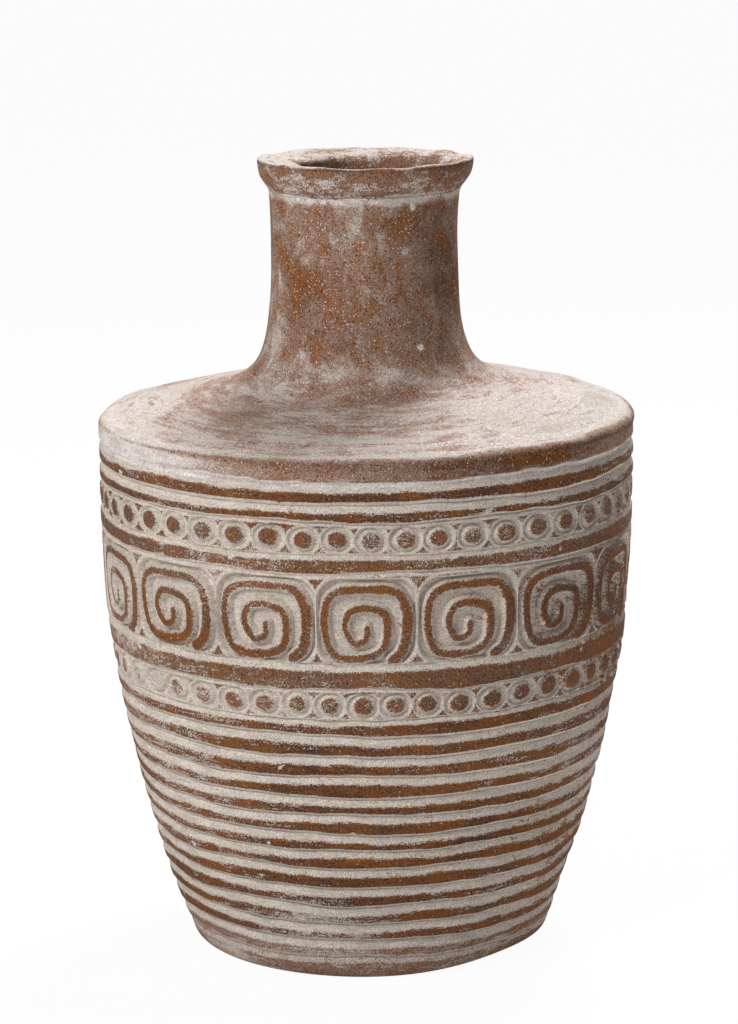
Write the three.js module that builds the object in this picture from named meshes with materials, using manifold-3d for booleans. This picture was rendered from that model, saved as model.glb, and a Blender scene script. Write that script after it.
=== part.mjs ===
// Tall terracotta vase, thrown in courses that are stacked and luted together with clay slip.
// Millimetres, +Z up, origin at the middle of the underside, -Y is the front.
import * as THREE from 'three';
import { mergeVertices } from 'three/addons/utils/BufferGeometryUtils.js';
import Module from 'manifold-3d';

const wasm = await Module();
wasm.setup();

// Overall form
const footRadius = 109; // where the body's curve would meet the ground
const bellyRadius = 165.5; // widest part, at the top of the upper bead course
const swell = 2.1; // how sharply the body draws in towards the foot
const wall = 14; // thickness of the thrown body wall
const floorThickness = 17;
const footRounding = 8; // height of the rounded lower edge

// Ribs and carved relief
const ribPitch = 12.575; // from groove to groove
const grooveWidth = 7; // one sweep of the throwing rib
const ribDepth = 1.8;
const carveDepth = 2; // ground of the carved courses below the rib tops

// Courses of the body, from the ground up
const baseHeight = 24.6; // top of the base, in its first groove
const ribsPerWall = 6; // ribs on each of the two plain courses
const lowerGirdle = 18.3; // plain belt over the lower beads
const friezeHeight = 53.2; // spiral course
const upperGirdle = 13; // plain belt under the upper beads
const shoulderRibs = 2;
const luteRise = 4; // the joint faces climb this much towards the inside, so courses centre themselves
const slipGap = 0.3; // left between two courses for the slip

// Spirals and beads
const spiralCount = 16;
const spiralRidge = 5.2; // width of the raised ridge
const beadCount = 48; // in each row
const beadFoot = 6.6; // radius of a bead where it leaves the ground
const beadTop = 3.6; // radius of its flat top
const beadMargin = 1.4; // ground above and below a bead
const beadRow = 2 * (beadFoot + beadMargin);

// Shoulder, neck and rim
const edgeHeight = 14; // shoulder edge above the top groove
const edgeRounding = 7.5;
const shoulderSlope = 13; // degrees
const shoulderThickness = 16;
const rootFillet = 27; // reach of the curve from shoulder to neck
const rootRise = 28; // height of that curve
const neckHeight = 92;
const waistRadius = 57.6; // narrowest part of the neck
const rootFlare = 3.9; // the neck's foot stands out this much
const topFlare = 1.4; // and its top this much
const neckWall = 13.1; // at the waist
const rimHeight = 20;
const rimOverhang = 7; // rim beyond the top of the neck
const lipWidth = 6; // from the widest part of the rim in to its crest
const lipRounding = 5; // and up to its crest

// Fineness of the solids
const facets = 32; // round the vase, two under each spiral
const arcSteps = 3; // on a short curve
const insideStep = 40; // most that one straight stretch of the inside may climb
const spiralSteps = 19;
const beadSides = 6;
const bury = 2.5; // carved ridges and beads are rooted this deep in their course
const weldReach = 1e-4; // corners nearer than this are one corner

// Heights of the joints
const lowerWallTop = baseHeight + ribsPerWall * ribPitch;
const middleWallTop = lowerWallTop + ribsPerWall * ribPitch;
const lowerBeadTop = middleWallTop + beadRow + lowerGirdle;
const friezeTop = lowerBeadTop + friezeHeight;
const friezeMiddle = lowerBeadTop + friezeHeight / 2;
const upperBeadTop = friezeTop + upperGirdle + beadRow;
const shoulderWallTop = upperBeadTop + shoulderRibs * ribPitch;
const edgeTop = shoulderWallTop + edgeHeight;

// Radii of the neck and rim
const rootRadius = waistRadius + rootFlare;
const neckTopRadius = waistRadius + topFlare;
const throatRadius = waistRadius - neckWall;
const rimRadius = neckTopRadius + rimOverhang;
const crestRadius = rimRadius - lipWidth;

const point = (radius, height) => new THREE.Vector2(radius, height);
const radians = THREE.MathUtils.degToRad;

// Radius of the body over its rib tops.
function bodyRadius(height) {
  const below = Math.max(0, 1 - height / upperBeadTop);
  return bellyRadius - (bellyRadius - footRadius) * below ** swell;
}

const grooveRadius = (height) => bodyRadius(height) - ribDepth;
const groundRadius = (height) => bodyRadius(height) - carveDepth;
const innerRadius = (height) => bodyRadius(height) - wall;

function curve(from, control, to) {
  return new THREE.QuadraticBezierCurve(from, control, to).getPoints(arcSteps);
}

// Inside of a course of the body, listed downwards from its top joint to its bottom joint.
function insideFace(bottom, top) {
  const face = [];
  const steps = Math.ceil((top - bottom) / insideStep);
  for (let step = 0; step <= steps; step++) {
    const height = THREE.MathUtils.lerp(top, bottom, step / steps) + luteRise;
    face.push(point(innerRadius(height), height));
  }
  return face;
}

// Closed outline of a ring course: up the outside, across the joint, down the inside.
function courseOutline(bottom, top, face) {
  const seat = bottom + slipGap;
  return [
    point(grooveRadius(bottom), seat),
    ...face,
    point(grooveRadius(top), top),
    ...insideFace(seat, top),
  ];
}

// Rib tops between the grooves, from one groove upwards.
function ribFace(bottom, count) {
  const face = [];
  for (let rib = 0; rib < count; rib++) {
    const groove = bottom + rib * ribPitch;
    const ridgeStart = groove + grooveWidth / 2;
    const ridgeEnd = groove + ribPitch - grooveWidth / 2;
    if (rib > 0) face.push(point(grooveRadius(groove), groove));
    face.push(point(bodyRadius(ridgeStart), ridgeStart));
    face.push(point(bodyRadius(ridgeEnd), ridgeEnd));
  }
  return face;
}

// Plain belt between two grooves.
function girdleFace(bottom, top) {
  const start = bottom + grooveWidth / 2;
  const end = top - grooveWidth / 2;
  return [point(bodyRadius(start), start), point(bodyRadius(end), end)];
}

// Turns a closed outline into a solid ring or disc about the upright axis.
function turned(outline) {
  const onAxis = outline[0].x === 0;
  const closed = onAxis ? outline : [...outline, outline[0]];
  const geometry = new THREE.LatheGeometry(closed, facets, -Math.PI / facets);
  return geometry.rotateX(Math.PI / 2);
}

function solid(geometry) {
  geometry.deleteAttribute('normal');
  geometry.deleteAttribute('uv');
  const merged = mergeVertices(geometry, weldReach);
  const vertProperties = new Float32Array(merged.attributes.position.array);
  const triVerts = new Uint32Array(merged.index.array);
  return new wasm.Manifold(new wasm.Mesh({ numProp: 3, vertProperties, triVerts }));
}

// A course with raised pieces grown out of its wall.
function withRelief(course, pieces) {
  let body = solid(course);
  for (const piece of pieces) body = body.add(solid(piece));
  const mesh = body.getMesh();
  const geometry = new THREE.BufferGeometry();
  geometry.setAttribute('position', new THREE.BufferAttribute(new Float32Array(mesh.vertProperties), 3));
  geometry.setIndex(new THREE.BufferAttribute(new Uint32Array(mesh.triVerts), 1));
  geometry.computeVertexNormals();
  return geometry;
}

// One stamped bead, a low stud that points straight out of the wall.
function bead(angle, height) {
  const length = carveDepth + bury;
  const stud = new THREE.CylinderGeometry(beadTop, beadFoot, length, beadSides);
  stud.rotateZ(Math.PI);
  stud.translate(0, length / 2 - bodyRadius(height), height);
  return stud.rotateZ(angle);
}

function beadRing(height) {
  const beads = [];
  for (let number = 0; number < beadCount; number++) {
    beads.push(bead((number * 2 * Math.PI) / beadCount, height));
  }
  return beads;
}

// Middle line of a carved spiral from its eye outwards, clockwise, as shares of the room it has.
const spiralLine = new THREE.SplineCurve([
  point(0.02, -0.13), point(-0.02, -0.43), point(-0.28, -0.51), point(-0.46, -0.09), point(-0.33, 0.3),
  point(0.01, 0.38), point(0.4, 0.2), point(0.46, -0.27), point(0.34, -0.72), point(-0.05, -0.91),
  point(-0.67, -0.84), point(-0.88, -0.3), point(-0.86, 0.47), point(-0.59, 0.81), point(0.01, 0.86),
  point(0.64, 0.78), point(0.88, 0.35), point(0.89, -0.31), point(0.72, -0.84),
]);

// Flat outline of the spiral ridge, one side out to its tip and the other side back to its eye.
function spiralShape() {
  const halfWide = (Math.PI * bodyRadius(friezeMiddle)) / spiralCount - spiralRidge / 2;
  const halfTall = (friezeHeight - spiralRidge) / 2;
  const line = spiralLine.getSpacedPoints(spiralSteps).map((p) => point(p.x * halfWide, p.y * halfTall));
  const left = [];
  const right = [];
  line.forEach((p, step) => {
    const before = line[Math.max(step - 1, 0)];
    const after = line[Math.min(step + 1, spiralSteps)];
    const along = after.clone().sub(before).normalize();
    const aside = point(-along.y, along.x).multiplyScalar(spiralRidge / 2);
    left.push(p.clone().add(aside));
    right.unshift(p.clone().sub(aside));
  });
  return new THREE.Shape([...left, ...right]);
}

// Spiral ridges bent round the frieze, one in each panel.
function spiralRing() {
  const length = carveDepth + bury;
  const flat = new THREE.ExtrudeGeometry(spiralShape(), { depth: length, bevelEnabled: false });
  const place = flat.attributes.position;
  for (let number = 0; number < place.count; number++) {
    const height = friezeMiddle + place.getY(number);
    const radius = bodyRadius(height) - length + place.getZ(number);
    const angle = place.getX(number) / bodyRadius(friezeMiddle);
    place.setXYZ(number, radius * Math.sin(angle), -radius * Math.cos(angle), height);
  }
  const spirals = [];
  for (let number = 0; number < spiralCount; number++) {
    spirals.push(flat.clone().rotateZ((number * 2 * Math.PI) / spiralCount));
  }
  return spirals;
}

// Base: a flat disc with a rounded edge and the start of the wall.
function baseCourse() {
  const roundedTop = point(bodyRadius(footRounding), footRounding);
  const contact = point(roundedTop.x - footRounding, 0);
  const corner = point(roundedTop.x - ribDepth, 0);
  const inside = point(innerRadius(floorThickness), floorThickness);
  const ridgeEnd = baseHeight - grooveWidth / 2;
  return turned([
    point(0, 0),
    ...curve(contact, corner, roundedTop),
    point(bodyRadius(ridgeEnd), ridgeEnd),
    point(grooveRadius(baseHeight), baseHeight),
    point(innerRadius(baseHeight + luteRise), baseHeight + luteRise),
    inside,
    point(0, floorThickness),
  ]);
}

function ribbedWall(bottom, top, ribs) {
  return turned(courseOutline(bottom, top, ribFace(bottom, ribs)));
}

// Recessed ground of a row of beads, with a plain belt over or under it.
function beadCourse(bottom, top, rowBottom) {
  const rowTop = rowBottom + beadRow;
  const beltBelow = rowBottom > bottom;
  const face = beltBelow
    ? [...girdleFace(bottom, rowBottom), point(groundRadius(rowBottom), rowBottom)]
    : [point(groundRadius(rowTop), rowTop), ...girdleFace(rowTop, top)];
  const row = beadRing(rowBottom + beadRow / 2);
  return withRelief(turned(courseOutline(bottom, top, face)), row);
}

function friezeCourse() {
  return withRelief(turned(courseOutline(lowerBeadTop, friezeTop, [])), spiralRing());
}

// Shoulder: rounded edge, shallow cone and the curve that starts the neck.
const coneRise = (from, to) => (from - to) * Math.tan(radians(shoulderSlope));
const coneStart = point(bellyRadius - edgeRounding, edgeTop + edgeRounding / 2);
const coneEnd = point(rootRadius + rootFillet, coneStart.y + coneRise(coneStart.x, rootRadius + rootFillet));
const neckFoot = coneEnd.y + rootRise;
const neckTop = neckFoot + neckHeight;
const crestHeight = neckTop + rimHeight;

function shoulderCourse() {
  const bottom = shoulderWallTop;
  const seat = bottom + slipGap;
  const edgeCorner = point(bellyRadius, coneStart.y - coneRise(bellyRadius, coneStart.x));
  const rootCorner = point(rootRadius, coneEnd.y + coneRise(coneEnd.x, rootRadius));
  const underside = coneStart.y + coneRise(coneStart.x, throatRadius) - shoulderThickness;
  return turned([
    point(grooveRadius(bottom), seat),
    point(bellyRadius, bottom + grooveWidth / 2),
    ...curve(point(bellyRadius, edgeTop - edgeRounding / 2), edgeCorner, coneStart),
    ...curve(coneEnd, rootCorner, point(rootRadius, neckFoot)),
    point(throatRadius, neckFoot + luteRise),
    point(throatRadius, underside),
    point(innerRadius(seat), seat + luteRise),
  ]);
}

function neckCourse() {
  const seat = neckFoot + slipGap;
  const waist = neckFoot + neckHeight / 2;
  return turned([
    ...curve(point(rootRadius, seat), point(waistRadius, seat + rootRise / 2), point(waistRadius, waist)),
    ...curve(point(waistRadius, waist), point(waistRadius, neckTop), point(neckTopRadius, neckTop)).slice(1),
    point(throatRadius, neckTop + luteRise),
    point(throatRadius, seat + luteRise),
  ]);
}

// Rim: a rolled lip, round outside and sloping in to the bore.
function rimCourse() {
  const seat = neckTop + slipGap;
  const widest = crestHeight - lipRounding;
  const outsideControl = point(rimRadius, (seat + widest) / 2);
  const outside = curve(point(neckTopRadius, seat), outsideControl, point(rimRadius, widest));
  const lip = curve(point(rimRadius, widest), point(rimRadius, crestHeight), point(crestRadius, crestHeight));
  const funnelControl = point(throatRadius, crestHeight - luteRise);
  const funnelFoot = point(throatRadius, seat + luteRise);
  const funnel = curve(point(crestRadius, crestHeight), funnelControl, funnelFoot);
  return turned([...outside, ...lip.slice(1), ...funnel.slice(1)]);
}

const terracotta = 0x8a5a3a;
const washed = 0xb7a598;

const vase = new THREE.Group();

function place(name, geometry, colour) {
  const clay = new THREE.MeshStandardMaterial({ color: colour, roughness: 0.88, metalness: 0 });
  const mesh = new THREE.Mesh(geometry, clay);
  mesh.name = name;
  vase.add(mesh);
}

place('base', baseCourse(), terracotta);
place('lower_wall', ribbedWall(baseHeight, lowerWallTop, ribsPerWall), terracotta);
place('middle_wall', ribbedWall(lowerWallTop, middleWallTop, ribsPerWall), terracotta);
place('lower_bead_course', beadCourse(middleWallTop, lowerBeadTop, middleWallTop), washed);
place('spiral_course', friezeCourse(), washed);
place('upper_bead_course', beadCourse(friezeTop, upperBeadTop, friezeTop + upperGirdle), washed);
place('shoulder_wall', ribbedWall(upperBeadTop, shoulderWallTop, shoulderRibs), terracotta);
place('shoulder', shoulderCourse(), washed);
place('neck', neckCourse(), washed);
place('rim', rimCourse(), washed);

export default vase;
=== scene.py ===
"""Terracotta vase: clay courses with thrown ribs, stamped beads and carved spirals under a pale wash."""
import math

import bpy
import numpy as np
from bpy.props import FloatProperty, FloatVectorProperty, IntProperty, PointerProperty
from mathutils import Matrix, Vector


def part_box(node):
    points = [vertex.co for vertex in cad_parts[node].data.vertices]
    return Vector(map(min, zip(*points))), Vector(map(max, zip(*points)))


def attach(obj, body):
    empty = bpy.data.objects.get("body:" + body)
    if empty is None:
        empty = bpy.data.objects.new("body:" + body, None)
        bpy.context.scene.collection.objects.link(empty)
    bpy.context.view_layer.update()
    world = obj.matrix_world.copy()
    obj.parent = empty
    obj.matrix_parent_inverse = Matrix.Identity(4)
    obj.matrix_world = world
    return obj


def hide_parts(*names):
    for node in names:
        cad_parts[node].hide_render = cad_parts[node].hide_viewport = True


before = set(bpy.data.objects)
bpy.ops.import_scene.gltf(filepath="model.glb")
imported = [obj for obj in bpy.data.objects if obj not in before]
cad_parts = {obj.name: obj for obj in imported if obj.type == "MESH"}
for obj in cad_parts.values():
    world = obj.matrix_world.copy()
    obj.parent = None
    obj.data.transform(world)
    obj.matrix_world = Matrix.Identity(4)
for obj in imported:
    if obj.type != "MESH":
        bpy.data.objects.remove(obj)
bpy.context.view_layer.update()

bl_info = {
    "name": "Terracotta vase",
    "version": (1, 0, 0),
    "blender": (4, 5, 0),
    "location": "View3D > Sidebar > Vase",
    "description": "Carved terracotta vase with a rubbed pale wash, and a plain studio",
    "category": "Object",
}

# The courses of the vase from the ground up, and the height where each one starts
COURSES = (
    "base", "lower_wall", "middle_wall", "lower_bead_course", "spiral_course",
    "upper_bead_course", "shoulder_wall", "shoulder", "neck", "rim",
)
SEAM = {name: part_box(name)[0][2] for name in COURSES}
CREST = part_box("rim")[1][2]
MM = 0.001
TURN = 2 * math.pi

# Fineness of the meshes
FINE_COLUMNS = 1280  # round a carved course
PLAIN_COLUMNS = 480  # round any other
FINE_STEP = 0.75 * MM  # up the body and the rim
PLAIN_STEP = 1.1 * MM  # up the shoulder and the neck
INSIDE_STEP = 12 * MM
SHARP_ANGLE = math.radians(54)  # bends beyond this are shaded as edges

# What the finishes follow
BRUSH_RADIUS = 0.15  # brush marks run round at this radius
FAR = 10 * MM  # no crease is felt this far from one

# Reach of the neck's root down the shoulder
ROOT_REACH = 45 * MM


def length(label, about, size):
    """A size of the vase, in metres."""
    return FloatProperty(name=label, description=about, default=size, min=0, precision=4, unit="LENGTH")


def angle(label, about, degrees):
    """An angle, shown in degrees."""
    return FloatProperty(name=label, description=about, default=math.radians(degrees), subtype="ANGLE")


def whole(label, about, number):
    """A count, or the start of seeded draws."""
    return IntProperty(name=label, description=about, default=number)


def plain(label, about, number, unit="NONE"):
    """A number that is no length and no angle."""
    return FloatProperty(name=label, description=about, default=number, unit=unit)


def colour(label, about, red, green, blue):
    """A colour given as screen values from 0 to 255 and kept as scene linear values."""
    linear = []
    for value in (red, green, blue):
        share = value / 255
        linear.append(share / 12.92 if share <= 0.04045 else ((share + 0.055) / 1.055) ** 2.4)
    return FloatVectorProperty(
        name=label, description=about, default=linear, min=0, max=1, subtype="COLOR")


class VaseForm(bpy.types.PropertyGroup):
    """Turned form of the vase."""
    foot_radius: length("Foot radius", "Where the body's curve would meet the ground", 0.109)
    belly_radius: length("Belly radius", "Widest part of the body", 0.1655)
    swell: plain("Swell", "How sharply the body draws in to the foot", 2.1)
    wall: length("Wall", "Thickness of the body wall", 0.014)
    floor_thickness: length("Floor", "Thickness of the floor", 0.017)
    foot_rounding: length("Foot rounding", "Height of the rounded lower edge", 0.0095)
    foot_wear: length("Foot wear", "How far the right of the foot's edge is worn up", 0.0038)
    lute_rise: length("Joint rise", "Joint faces climb this much inwards", 0.004)
    edge_rounding: length("Edge rounding", "Rounding of the shoulder's edge", 0.0042)
    edge_height: length("Edge height", "Shoulder edge above its joint", 0.014)
    shoulder_slope: angle("Shoulder slope", "Slope of the shoulder", 13)
    shoulder_thickness: length("Shoulder thickness", "Clay under the shoulder", 0.016)
    root_fillet: length("Root fillet", "Reach of the curve from shoulder to neck", 0.027)
    waist_radius: length("Waist radius", "Narrowest part of the neck", 0.0576)
    root_flare: length("Root flare", "How far the foot of the neck stands out", 0.0039)
    root_rise: length("Root rise", "Height over which the foot of the neck draws in", 0.014)
    top_flare: length("Top flare", "How far the top of the neck stands out", 0.0014)
    neck_wall: length("Neck wall", "Thickness of the neck", 0.0131)
    rim_overhang: length("Rim overhang", "Rim beyond the top of the neck", 0.007)
    crease_rise: length("Crease rise", "Crease under the rim above its joint", 0.0012)
    under_rise: length("Underside rise", "Where the rim's underside turns into its outer face", 0.0086)
    face_lean: length("Face lean", "How far the rim's outer face draws in from its lip down", 0.0018)
    lip_rounding: length("Lip rounding", "Rounding of the lip", 0.0016)
    mouth_fall: length("Mouth fall", "Drop of the rim's top towards the throat", 0.002)
    mouth_rounding: length("Mouth rounding", "Rounding of the rim's top into the throat", 0.008)
    rim_sag: length("Rim sag", "How much lower the back of the rim lies", 0.0022)
    rim_offset: length("Rim offset", "How far the rim was set to the right", 0.0006)
    mouth_offset: length("Mouth offset", "How far the mouth was set to the right of the rim", 0.0065)
    shoulder_tilt: length("Shoulder tilt", "How much higher the right of the shoulder stands", 0.0022)


class VaseCarving(bpy.types.PropertyGroup):
    """Ribs, spirals and beads, and how unsteady the hand was."""
    rib_count: whole("Ribs", "Ribs below the lower beads", 12)
    rib_depth: length("Rib depth", "Depth of a groove between ribs", 0.0022)
    groove_below: length("Groove below", "Reach of a groove below its crease", 0.0056)
    groove_above: length("Groove above", "Reach of a groove above its crease", 0.0027)
    crease_lift: length("Crease lift", "Crease of a rib's groove above its even place", 0.0010)
    rib_creep: length("Rib creep", "How far the middle ribs sit below even spacing", 0.0025)
    carve_depth: length("Carving depth", "Depth of the carved ground", 0.0038)
    stamp_depth: length("Stamp depth", "Depth of the ground round the beads", 0.0027)
    spiral_count: whole("Spirals", "Spirals round the frieze", 16)
    spiral_ridge: length("Spiral ridge", "Width of a raised spiral ridge", 0.0061)
    panel_corner: length("Panel corner", "Rounding of the corners of a spiral's ground", 0.014)
    bead_count: whole("Beads", "Beads in each row", 48)
    bead_wide: length("Bead width", "Half width of the ring stamped round a bead", 0.0098)
    bead_tall: length("Bead height", "Half height of that ring", 0.0079)
    bead_knob: length("Bead knob", "Radius of the knob in a ring", 0.0066)
    lower_start: angle("Lower bead start", "Turn of the lower row of beads", -1.25)
    upper_start: angle("Upper bead start", "Turn of the upper row of beads", 0.9)
    by_eye: angle("Spacing by eye", "Drift of the pattern between the quarter marks", 1.1)
    waver: length("Waver", "How far ribs and grooves wander", 0.0005)
    lumps: length("Lumps", "Slow unevenness of the thrown wall", 0.00035)
    nick_count: whole("Nicks", "Small knocks filled with wash, over the body", 130)
    nick_depth: length("Nick depth", "Depth of a knock", 0.0006)
    seed: whole("Seed", "Start of every seeded draw", 7)


class VaseFinish(bpy.types.PropertyGroup):
    """Colours of the clay and of the wash."""
    clay: colour("Clay", "Wiped clay", 123, 74, 33)
    deep_clay: colour("Deep clay", "Darker, redder clay", 52, 30, 19)
    wash: colour("Wash", "Thick pale wash", 216, 205, 193)
    grey_wash: colour("Grey wash", "Thinner, greyer wash", 194, 182, 171)
    thin_wash: colour("Thin wash", "Wash rubbed to a film over clay", 148, 118, 101)
    cool_wash: colour("Cool wash", "Thick wash on the shoulder, neck and rim", 228, 220, 218)
    chalk: colour("Chalk", "Specks of thick wash", 236, 228, 222)
    # Colour of the painted shade drawn along the creases and under the lip, where shadow falls
    crease_shade: colour("Soot", "Dirt in the creases", 62, 44, 34)


class VaseStage(bpy.types.PropertyGroup):
    """Camera, lamps and floor."""
    camera_place: FloatVectorProperty(
        name="Camera", description="Where the camera stands",
        default=(0.0016, -2.4, 0.7733), subtype="TRANSLATION")
    pitch: angle("Pitch", "Camera tilt down", 11.88)
    roll: angle("Roll", "Camera roll", -0.42)
    lens: plain("Lens", "Focal length in millimetres", 138.34)
    sky: plain("Sky", "Strength of the even light all round", 0.19)
    key_power: plain("Key", "Large soft lamp at the left", 43, "POWER")
    rim_power: plain("Rim", "Soft lamp high behind, at the right", 56, "POWER")
    floor: colour("Floor", "Plain pale floor", 240, 240, 240)
    floor_white: plain("Floor white", "Share of plain white in the floor as seen", 0.955)


# Seeded unevenness

# Added to the seed for each use, so that no two draws are alike. Each groove has its own hundredth
GROOVE_DRAWS = 100
REACH_DRAW = 25
QUICK_DRAW = 50
FOOT_DRAW = 5
OUTSIDE_DRAW = 11
RINGS_DRAW = 12
INSIDE_DRAW = 13
CREASE_DRAW = 31
LIP_DRAW = 32
GAPS_DRAW = 33
BODY_WASH_DRAW = 61
UPPER_WASH_DRAW = 62
SPIRAL_DRAW = 300
NICK_DRAW = 400


def waver(phi, seed, slowest=1, fastest=9, count=7):
    """Smooth wandering round the vase, about one in size, the same at both ends of the turn."""
    draw = np.random.default_rng(seed)
    total = np.zeros_like(phi)
    for _ in range(count):
        total += np.cos(draw.integers(slowest, fastest + 1) * phi + draw.uniform(0, TURN))
    return total / math.sqrt(count / 2)


def lumps(phi, along, seed, turns=(2, 14), spans=(0.04, 0.2), count=14):
    """Smooth unevenness round and along the wall, about one in size. spans are wave lengths along it."""
    draw = np.random.default_rng(seed)
    total = np.zeros(np.broadcast(phi, along).shape)
    for _ in range(count):
        turning = draw.integers(turns[0], turns[1] + 1)
        wave = TURN / draw.uniform(*spans) * draw.choice((-1, 1))
        total += np.cos(turning * phi + wave * along + draw.uniform(0, TURN))
    return total / math.sqrt(count / 2)


def outside_lumps(phi, along, carving):
    """How far the slow lumps of the thrown wall stand out, in metres."""
    return lumps(phi, along, carving.seed + OUTSIDE_DRAW) * carving.lumps


def ease(value, start, end):
    """Smooth step from 0 at start to 1 at end."""
    share = np.clip((value - start) / (end - start), 0, 1)
    return share * share * (3 - 2 * share)


def phi_signed(phi):
    """Angle from the front, below zero on the left."""
    return np.angle(np.exp(1j * phi))


# Places where the wash lies thick (below zero) or is rubbed through (above zero), and one inside the mouth
# where thick wash is painted light: degrees from the front, millimetres up the wall and on over the
# shoulder, half reach round and up, and how much
BLOTCHES = (
    # Ribs
    (-14, 42, 16, 16, -0.3), (-50, 110, 40, 90, -0.22), (28, 120, 14, 20, -0.12),
    # Lower beads and the belt over them
    (-58, 184, 21, 10, -0.6), (60, 184, 25, 12, 0.2), (66, 190, 14, 24, 0.1), (-62, 203, 22, 6, -0.45),
    # Spirals, upper beads and the ribs over them
    (45, 236, 25, 26, 0.12), (60, 250, 20, 60, 0.12), (-60, 285, 30, 8, 0.15), (-45, 300, 16, 12, -0.2),
    # Edge of the shoulder
    (0, 322, 400, 4, -0.12), (-5, 325, 28, 6, -0.35), (-66, 327, 30, 8, -1.3),
    # Where the shoulder turns up into the neck
    (20, 422, 22, 10, 0.3), (-60, 425, 18, 28, -0.2), (-15, 437, 9, 7, -0.3), (12, 437, 9, 6, -0.3),
    # Neck, with two white spots
    (48, 467, 4, 10, -0.3), (-64, 478, 6, 30, -0.15), (-40, 492, 13, 14, 0.25), (56, 500, 28, 45, 0.42),
    (-9, 510, 10, 15, -0.2), (-37, 513, 12, 25, -0.18), (17, 530, 10, 9, 0.25),
    (33.3, 453.7, 1.8, 1.7, -2.4), (30, 539, 1.7, 1.6, -2.4),
    # Rim; the second is pale wash painted inside the mouth at the left as light, where that wall lies in
    # shade
    (-80, 578, 45, 9, -0.15), (-115, 606, 55, 10, -1.0),
)


def blotches(phi, along):
    """Change of bareness where the wash lies thick or is rubbed through, and where thick wash stands in for
    light inside the mouth.
    """
    total = np.zeros(np.broadcast(phi, along).shape)
    for turned, up, wide, tall, change in BLOTCHES:
        aside = phi_signed(phi - math.radians(turned)) / math.radians(wide)
        total += change * np.exp(-(aside ** 2 + ((along - up * MM) / (tall * MM)) ** 2))
    return total


# Outlines: radius and height

# Section of the rim, beside what its properties give
CREASE_OUT = 0.2 * MM  # how far its crease stands out from the neck
HOLLOW_IN = 4.4 * MM  # corner that draws its underside hollow, in from its edge
HOLLOW_UP = 3 * MM  # and up from the crease
BULGE_IN = 0.4 * MM  # corner that draws its outer face full, in from its edge
BULGE_UP = 2.5 * MM  # and up from the underside
MOUTH_BEND = 1.2  # depth of the mouth's rounding against its width


def body_radius(form, height):
    """Radius of the body over its rib tops."""
    below = np.clip(1 - np.asarray(height) / SEAM["shoulder_wall"], 0, None)
    return form.belly_radius - (form.belly_radius - form.foot_radius) * below ** form.swell


def bend(start, control, end, steps=16):
    """Points of a curve that leaves start and reaches end along the lines to control."""
    share = np.linspace(0, 1, steps + 1)[:, None]
    start, control, end = (np.array(place) for place in (start, control, end))
    return (1 - share) ** 2 * start + 2 * share * (1 - share) * control + share ** 2 * end


def straight(start, end, steps=1):
    """Points of a straight stretch."""
    share = np.linspace(0, 1, steps + 1)[:, None]
    return (1 - share) * np.array(start) + share * np.array(end)


def joined(*stretches):
    """One line from stretches that start where the last one ended."""
    return np.vstack([stretches[0]] + [stretch[1:] for stretch in stretches[1:]])


def run_along(line):
    """Distance along a line to each of its points."""
    return np.concatenate([[0], np.cumsum(np.hypot(*np.diff(line, axis=0).T))])


def evened(line, spacing):
    """The same line with points about that far apart."""
    run = run_along(line)
    places = np.linspace(0, run[-1], round(run[-1] / spacing) + 1)
    return np.column_stack([np.interp(places, run, line[:, 0]), np.interp(places, run, line[:, 1])])


def meeting(start, heading, end, arrival):
    """Where the line from start along heading meets the line that reaches end along arrival."""
    start, heading, end = (np.array(place) for place in (start, heading, end))
    square = np.array([-arrival[1], arrival[0]])
    return start + heading * (square @ (end - start)) / (square @ heading)


def wall_line(form, low, high, spacing):
    """Outside of the body between two heights."""
    heights = np.linspace(low, high, round((high - low) / spacing) + 1)
    return np.column_stack([body_radius(form, heights), heights])


def inside_point(form, height):
    """Place on the inside of the body at a height."""
    return float(body_radius(form, height)) - form.wall, height


def inside_line(form, low, high):
    """Inside of the body from its top joint down to its bottom joint."""
    heights = np.linspace(high, low, round((high - low) / INSIDE_STEP) + 1) + form.lute_rise
    return np.column_stack([body_radius(form, heights) - form.wall, heights])


def throat_radius(form):
    """Radius of the bore through the neck."""
    return form.waist_radius - form.neck_wall


def shoulder_marks(form):
    """Where the shoulder's edge, cone and root start and end."""
    low, neck_foot = SEAM["shoulder"], SEAM["neck"]
    belly, root = form.belly_radius, form.waist_radius + form.root_flare
    climb = math.tan(form.shoulder_slope)
    edge_top = low + form.edge_height
    edge_foot = (belly, edge_top - form.edge_rounding / 2)
    cone_start = (belly - form.edge_rounding, edge_top + form.edge_rounding / 2)
    cone_end = (root + form.root_fillet, cone_start[1] + (cone_start[0] - root - form.root_fillet) * climb)
    return (belly, low), edge_foot, cone_start, cone_end, (root, neck_foot), climb


def shoulder_line(form):
    """Outside of the shoulder from its joint up to the neck."""
    foot, edge_foot, cone_start, cone_end, neck_foot, climb = shoulder_marks(form)
    edge_corner = (edge_foot[0], cone_start[1] - (edge_foot[0] - cone_start[0]) * climb)
    root_corner = meeting(cone_end, (-1, climb), neck_foot, (-form.root_flare, form.root_rise))
    return evened(joined(
        straight(foot, edge_foot), bend(edge_foot, edge_corner, cone_start),
        straight(cone_start, cone_end), bend(cone_end, root_corner, neck_foot),
    ), PLAIN_STEP)


def neck_line(form):
    """Outside of the neck from the shoulder up to the rim."""
    low, high = SEAM["neck"], SEAM["rim"]
    waist = (form.waist_radius, (low + high) / 2)
    root = (waist[0] + form.root_flare, low)
    top = (waist[0] + form.top_flare, high)
    return evened(joined(
        bend(root, (waist[0], low + form.root_rise), waist), bend(waist, (waist[0], high), top),
    ), PLAIN_STEP)


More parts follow.
